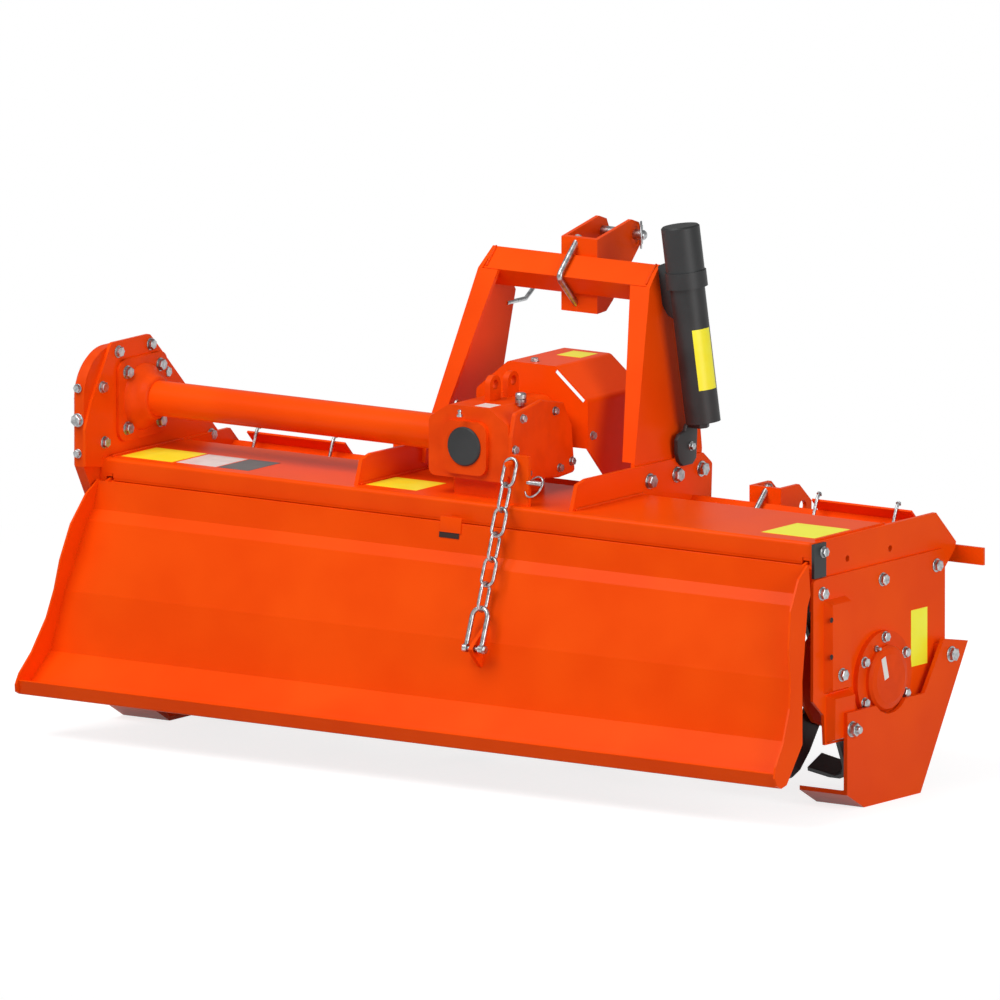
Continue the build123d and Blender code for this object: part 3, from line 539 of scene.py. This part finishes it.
# top link pin: a ring and clip at its right end, a bent handle at its left
pinY, pinZ = 512, 423
rodPiece("topPinRing", ringPoints((53, pinY, pinZ), 24, (0.57, -0.82, 0), (0, 0, 1)), 2, closed=True)
rodPiece("topPinClip", [(53, pinY, pinZ + 18), (53, pinY, pinZ - 16)], 3.5)
rodPiece("topPinHandle", [(-46, pinY, pinZ), (-62, pinY, pinZ), (-66, pinY, pinZ - 23)], 5, 8)

# ring pin through the chain bracket
rodPiece("bracketRing", ringPoints((160, 20, 37), 19, (1, 0, 0.3), (0, 0.5, 1)), 2, closed=True)
rodPiece("bracketPin", [(146, 20, 44), (178, 20, 44)], 5)

nippleProfile = ((0, 5.5), (4, 5.5), (4.2, 3.4), (8, 3), (9.5, 3.8), (12, 3.2), (13, 1.5))
nipplePlaces = (((hubFace, 175, -217), right), ((0, 12, 152), up), ((60, 120, 166), up))
turnedPiece("greaseNipples", nippleProfile, nipplePlaces, 16)

# rounded end of the top link pin, past its clip
pinEndProfile = ((0, 9.5), (9, 9.5), (12, 8.6), (14.4, 6.4), (15.6, 3.4), (16, 0.6))
turnedPiece("topPinEnd", pinEndProfile, [((48, pinY, pinZ), right)], 24, 35)

# breather on the gearbox: a ribbed zinc cap on a short stem
breatherProfile = ((0, 7), (6, 7), (6, 10.5), (12, 10.5), (13, 9), (14, 10.5), (21, 10.5), (24, 8))
shape = bmesh.new()
turned(shape, breatherProfile, Matrix.Translation(spot(60, 120, 163)), 18)
placeMesh("breather", meshOf("breather", shape), zincPlate, "frame")
print("pins and clips placed")

# round-wire welded chain, each link turned a quarter from the last, from its peg to the shackle
chainSize = {"links": 6, "wire": 3.2, "halfWidth": 12.8, "play": 0.3}
chainX = 118
chainTop, chainFoot = Vector((chainX, 9, 84)), Vector((chainX, -88, -180))
along = (chainFoot - chainTop).normalized()
pitch = ((chainFoot - chainTop).length - chainSize["wire"]) / chainSize["links"]
half = pitch / 2 + chainSize["wire"] - chainSize["halfWidth"] - chainSize["play"] / 2
shape = bmesh.new()
for link in range(chainSize["links"]):
    centre = chainTop + along * (link + 0.5) * pitch
    across = Vector(right) if link % 2 == 0 else along.cross(Vector(right))
    normal = along.cross(across)
    rings = []
    for way in (1, -1):
        for a in (math.pi * i / 12 for i in range(13)):
            outward = along * (way * math.sin(a)) + across * (way * math.cos(a))
            lengthwise = way * (half + chainSize["halfWidth"] * math.sin(a))
            place = centre + along * lengthwise + across * (way * chainSize["halfWidth"] * math.cos(a))
            around = [place + chainSize["wire"] * (c * outward + s * normal) for c, s in circle(12)]
            rings.append([shape.verts.new(spot(*p)) for p in around])
    skin(shape, rings, loop=True)
chainMesh = meshOf("tailgateChain", shape, 60)
chainMesh.materials.append(zincPlate)
chainPiece = addObject("tailgateChain", chainMesh)
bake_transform(chainPiece)
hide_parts("chain")

# shackle between the last link and the tailgate's lug: its bow up, its pin through the lug
shackle = {"half": 17, "rod": 4.6, "pin": 3.6, "eyeThick": 9}
lugY, lugZ = -112, -246
lugHole = Vector((chainX, lugY, lugZ))
upward = (chainFoot - lugHole).normalized()
bowCentre = chainFoot - upward * (shackle["half"] - shackle["rod"] - 1)
legs = [lugHole + Vector((way * shackle["half"], 0, 0)) for way in (-1, 1)]
bow = ringPoints(bowCentre, shackle["half"], left, upward, 18, 180)
rodPiece("shackleBow", [legs[0], *bow, legs[1]], shackle["rod"], body="gate")
eyeProfile = ((0, 7.2), (0.8, 8), (8.2, 8), (shackle["eyeThick"], 7.2))
eyePlaces = [((leg.x - shackle["eyeThick"] / 2, lugY, lugZ), right) for leg in legs]
turnedPiece("shackleEyes", eyeProfile, eyePlaces, 24, 35, body="gate")
rodPiece("shacklePin", [(94, lugY, lugZ), (138, lugY, lugZ)], shackle["pin"], body="gate")
boltSet("shackleNut", [((139.5, lugY, lugZ), right, 8, False)], body="gate")
print("chain made")

film = 0.4  # thickness of a label
sideLabel = [(outerFace, y, z) for y, z in ((303, -167), (355, -167), (355, -271), (303, -271))]
labels = {
    # name: outline, the way it faces, vinyl
    "labelLeft": (panel(-769, -655, (30, 0), (140, 0)), up, "yellowVinyl"),
    "labelLeftWhite": (panel(-648, -560, (34, 0), (136, 0)), up, "whiteVinyl"),
    "labelLeftGrey": (panel(-556, -487, (34, 0), (136, 0)), up, "greyVinyl"),
    "labelMiddle": (panel(-228, -116, (40, 0), (134, 0)), up, "yellowVinyl"),
    "labelRight": (panel(647, 764, (42, 0), (156, 0)), up, "yellowVinyl"),
    "labelHood": (panel(-16, 38, (342, 218), (396, 218)), up, "yellowVinyl"),
    "labelSide": (sideLabel, right, "yellowVinyl"),
    "labelBox": (panel(10, 44, (45, 168), (80, 168)), up, "whiteVinyl"),
}
for name, (outline, facing, colour) in labels.items():
    platePiece(name, outline, Vector(facing) * film, finish=vinyl[colour])

# label wrapped round the document tube, on the side that faces out and back
tubeLabel = {"from": 190, "to": 302, "radius": 32.4, "centreDegrees": -20, "sweepDegrees": 72, "steps": 24}
tubeHead, tubeEnd = Vector((235, 375, 477)), Vector((275, 392, 116))
tubeAlong = (tubeEnd - tubeHead).normalized()
shape = bmesh.new()
columns = []
for i in range(tubeLabel["steps"] + 1):
    a = math.radians(tubeLabel["centreDegrees"] + tubeLabel["sweepDegrees"] * (i / tubeLabel["steps"] - 0.5))
    outward = Vector((math.cos(a), math.sin(a), 0))
    outward = (outward - tubeAlong * outward.dot(tubeAlong)).normalized()
    surfaceLine = tubeHead + outward * tubeLabel["radius"]
    ends = [surfaceLine + tubeAlong * tubeLabel[end] for end in ("from", "to")]
    columns.append([shape.verts.new(spot(*end)) for end in ends])
for one, two in zip(columns, columns[1:]):
    shape.faces.new((one[0], two[0], two[1], one[1]))
placeMesh("labelTube", meshOf("labelTube", shape, 35), vinyl["yellowVinyl"], "frame")

# document tube's fixings: a moulded wing on the post, and a moulded foot bolted to the brace
mouldedLook = {"finish": mouldedPlastic, "slotName": "black_plastic", "roundMm": 2}
wing = [(186, 398), (200, 404), (213, 394), (222, 362), (227, 318)]
wing += [(223, 302), (208, 308), (192, 332), (186, 346)]
tubeWing = platePiece("tubeWing", [(x, 374, z) for x, z in wing], (0, 9, 0), **mouldedLook)
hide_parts("document_tube_strap")
foot = [(344, 60), (350, 46), (362, 36), (392, 36), (404, 46)]
foot += [(408, 112), (376, 112), (370, 100), (352, 96), (344, 86)]
tubeFoot = platePiece("tubeFoot", [(243.2, y, z) for y, z in foot], (9, 0, 0), **mouldedLook)
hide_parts("document_tube_foot")
shelf = [(246, 376), (246, 408), (278, 408), (284, 392), (278, 376)]
platePiece("tubeShelf", [(x, y, 105) for x, y in shelf], (0, 0, 9), **mouldedLook)
boltSet("tubeFootBolt", [((252, 387, 70), right, 8, False)])

# flared cast flange where the drive tube meets the side drive case
corner = driveFlange["corner"]
inner = driveFlange["half"] - corner
square = []
for quarter, (a, b) in enumerate(((1, 1), (-1, 1), (-1, -1), (1, -1))):
    for step in range(7):
        turnAngle = math.radians(90 * quarter + 15 * step)
        y = driveAxis[0] + a * inner + corner * math.cos(turnAngle)
        z = driveAxis[1] + b * inner + corner * math.sin(turnAngle)
        square.append((-sideFace, y, z))
flangePlate = platePiece(
    "driveFlange", square, (sideFace - driveFlange["face"], 0, 0), finish=enamelOnCasting, roundMm=1.5
)
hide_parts("drive_tube_flange")
flareProfile = ((0, 62), (5, 60), (11, 54), (16, 48), (22, 43.5), (30, 40.5), (33, 38), (34, 33))
flarePlaces = [((-driveFlange["face"], *driveAxis), right)]
turnedPiece("driveFlare", flareProfile, flarePlaces, 48, 40, look=(enamelOnCasting, "orange_paint"))

# slot left between the PTO hood's rear wall and its right slant
slotCut = {"place": (84, 242, 184), "long": 80, "wide": 8, "deep": 14}
slantTurn = Matrix.Rotation(math.atan2(57, 70), 4, "Y")  # the slant falls 57 in 70
stretch = Matrix.Diagonal((slotCut["long"] * mm, slotCut["deep"] * mm, slotCut["wide"] * mm, 1))
shape = bmesh.new()
bmesh.ops.create_cube(shape, size=1)
shape.transform(Matrix.Translation(spot(*slotCut["place"])) @ slantTurn @ stretch)
cutter = addObject("hoodSlot", meshOf("hoodSlot", shape))
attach(cutter, "frame")
cutter.hide_render = True
cutter.hide_viewport = True
slotModifier = frame["nodes"]["pto_hood"].modifiers.new("slot", "BOOLEAN")
slotModifier.operation = "DIFFERENCE"
slotModifier.solver = "EXACT"
slotModifier.object = cutter

# covers inside the lip's notches, just clear of the tailgate's ears, each with a rim on the lip
notches = {
    # name: from x, to x, middle of the rim
    "notchLeft": (-788, -756, -776),
    "notchMiddle": (-34, 16, 0),
    "notchRight": (744, 788, 776),
}
lipFace = 0.4
for name, (begin, end, rimX) in notches.items():
    platePiece(name, panel(begin, end, (21, -76), (21, -8)), (0, 2, 0))
    platePiece(name + "Rim", panel(rimX - 8, rimX + 8, (lipFace, -33.5), (lipFace, -27.5)), (0, 2.2, 0))

# pressed holes in the bearing plate's pad, drawn as discs of painted shadow, and the blank patch on its cap
for name, (y, z) in {"padHoleShadeUpper": (27, -143), "padHoleShadeLower": (27, -211)}.items():
    platePiece(name, ringPoints((padFace, y, z), 5, (0, 1, 0), up, 20), (0.3, 0, 0), finish=paintedShadow)
patch = [(174, -236), (187, -232), (198, -272), (185, -276)]
platePiece("labelCap", [(capFace, y, z) for y, z in patch], (film, 0, 0), finish=vinyl["whiteVinyl"])

# hem folded along the lip's lower edge, between the notches for the tailgate's ears
for name, (begin, end) in {"hemLeft": (-765, -9), "hemRight": (9, 765)}.items():
    platePiece(name, panel(begin, end, (lipFace, -35.5), (lipFace, -40.4)), (0, 4.4, 0))

# latch tab riveted over the top of the tailgate, and below it the slot, drawn as a strip of painted shadow
latchTab = panel(-21, 26, (-16.8, -29), (-20.1, -57))
platePiece("latchTab", latchTab, (0, -2, 0), body="gate", roundMm=0.6)
gateSlotShade = panel(-22, 22, (-20.6, -57), (-21.8, -67))
platePiece("tailgateSlotShade", gateSlotShade, (0, -0.5, 0), body="gate", finish=paintedShadow)
print("labels laid")

flangeSeam = ringPoints((-774, *driveAxis), 51, (0, 1, 0), up, 24)
welds = {
    # name: seam, width of the bead
    "weldBraceRight": ([(244.5, 30, 1.5), (244.5, 246, 1.5)], 3),
    "weldBraceLeft": ([(-233.5, 30, 1.5), (-233.5, 246, 1.5)], 3),
    "weldHoodRight": ([(781, 20, 1.2), (781, 240, 1.2)], 2.4),
    "weldHoodLeft": ([(-781, 20, 1.2), (-781, 240, 1.2)], 2.4),
    "weldTubeFlange": ([*flangeSeam, flangeSeam[0]], 2.6),
    "weldBarRight": ([(178, 349, 366), (178, 382, 399.5)], 2.6),
    "weldBarLeft": ([(-178, 349, 366), (-178, 382, 399.5)], 2.6),
}
for name, (seam, width) in welds.items():
    weldBead(name, seam, width)
print("welds laid")

floorMesh = bpy.data.meshes.new("studioFloor")
shape = bmesh.new()
bmesh.ops.create_grid(shape, x_segments=1, y_segments=1, size=30)
shape.to_mesh(floorMesh)
shape.free()
floor = addObject("studioFloor", floorMesh)
floorPaint, tree, coords, surface = startMaterial(
    "paleFloor", {"Base Color": linearColour("#ACACAC"), "Roughness": 0.85}
)
# seen directly or mirrored, the floor is lifted to white, and further off it is plain white
rays = addNode(tree, "ShaderNodeLightPath")
seen = addNode(tree, "ShaderNodeMath", {"operation": "MAXIMUM"})
tree.links.new(rays.outputs["Is Camera Ray"], seen.inputs[0])
tree.links.new(rays.outputs["Is Glossy Ray"], seen.inputs[1])
lift = addNode(tree, "ShaderNodeEmission", {"Strength": 0.8})
plainWhite = addNode(tree, "ShaderNodeEmission", {"Strength": 1.0})
lifted = addNode(tree, "ShaderNodeAddShader")
tree.links.new(surface.outputs["BSDF"], lifted.inputs[0])
tree.links.new(lift.outputs[0], lifted.inputs[1])
distance = addNode(tree, "ShaderNodeVectorMath", {"operation": "LENGTH"})
tree.links.new(coords, distance.inputs[0])
fade = addNode(
    tree,
    "ShaderNodeMapRange",
    {"From Min": 1.1, "From Max": 2.6, "interpolation_type": "SMOOTHSTEP"},  # metres from the middle
    [(distance.outputs["Value"], "Value")],
)
nearToFar = addNode(tree, "ShaderNodeMixShader", links=[(fade.outputs["Result"], "Fac")])
tree.links.new(lifted.outputs[0], nearToFar.inputs[1])
tree.links.new(plainWhite.outputs[0], nearToFar.inputs[2])
choose = addNode(tree, "ShaderNodeMixShader", links=[(seen.outputs[0], "Fac")])
tree.links.new(surface.outputs["BSDF"], choose.inputs[1])
tree.links.new(nearToFar.outputs[0], choose.inputs[2])
floorOutput = [n for n in tree.nodes if n.type == "OUTPUT_MATERIAL"][0]
tree.links.new(choose.outputs[0], floorOutput.inputs["Surface"])
floorMesh.materials.append(floorPaint)

# soft white light all round, which the camera sees as plain white
world = bpy.data.worlds.new("studio")
bpy.context.scene.world = world
world.use_nodes = True
tree = world.node_tree
tree.nodes.clear()
rays = addNode(tree, "ShaderNodeLightPath")
soft = addNode(tree, "ShaderNodeBackground", {"Color": (1, 1, 1, 1), "Strength": 0.34})
white = addNode(tree, "ShaderNodeBackground", {"Color": (1, 1, 1, 1), "Strength": 1.0})
mix = addNode(tree, "ShaderNodeMixShader", links=[(rays.outputs["Is Camera Ray"], "Fac")])
tree.links.new(soft.outputs[0], mix.inputs[1])
tree.links.new(white.outputs[0], mix.inputs[2])
addNode(tree, "ShaderNodeOutputWorld", links=[(mix.outputs[0], "Surface")])

middle = Vector((0, -0.0273, 0.48))
lamps = {
    # name: place, width in metres, watts
    "overhead": ((-0.9, -2.6, 4.0), 3.0, 150),
    "rightSide": ((4.4, -1.2, 1.6), 2.2, 78),
}
for name, (place, width, watts) in lamps.items():
    light = bpy.data.lights.new(name, "AREA")
    light.size = width
    light.energy = watts
    lamp = addObject(name, light)
    lamp.location = place
    lamp.rotation_euler = (middle - Vector(place)).to_track_quat("-Z", "Y").to_euler()

# a very long lens, so far off that parallel edges stay parallel
view = {"azimuth": 35.1, "elevation": 9.9, "distance": 80.0, "field": 1.82, "clip": 200}
az, el = math.radians(view["azimuth"]), math.radians(view["elevation"])
away = Vector((math.sin(az) * math.cos(el), -math.cos(az) * math.cos(el), math.sin(el)))
cameraData = bpy.data.cameras.new("camera")
cameraData.sensor_width = 36
cameraData.lens = cameraData.sensor_width * view["distance"] / view["field"]
cameraData.clip_end = view["clip"]
camera = addObject("camera", cameraData)
camera.location = middle + away * view["distance"]
camera.rotation_euler = (-away).to_track_quat("-Z", "Y").to_euler()
bpy.context.scene.camera = camera
bpy.context.scene.view_settings.view_transform = "Standard"
print("floor, light and camera set")
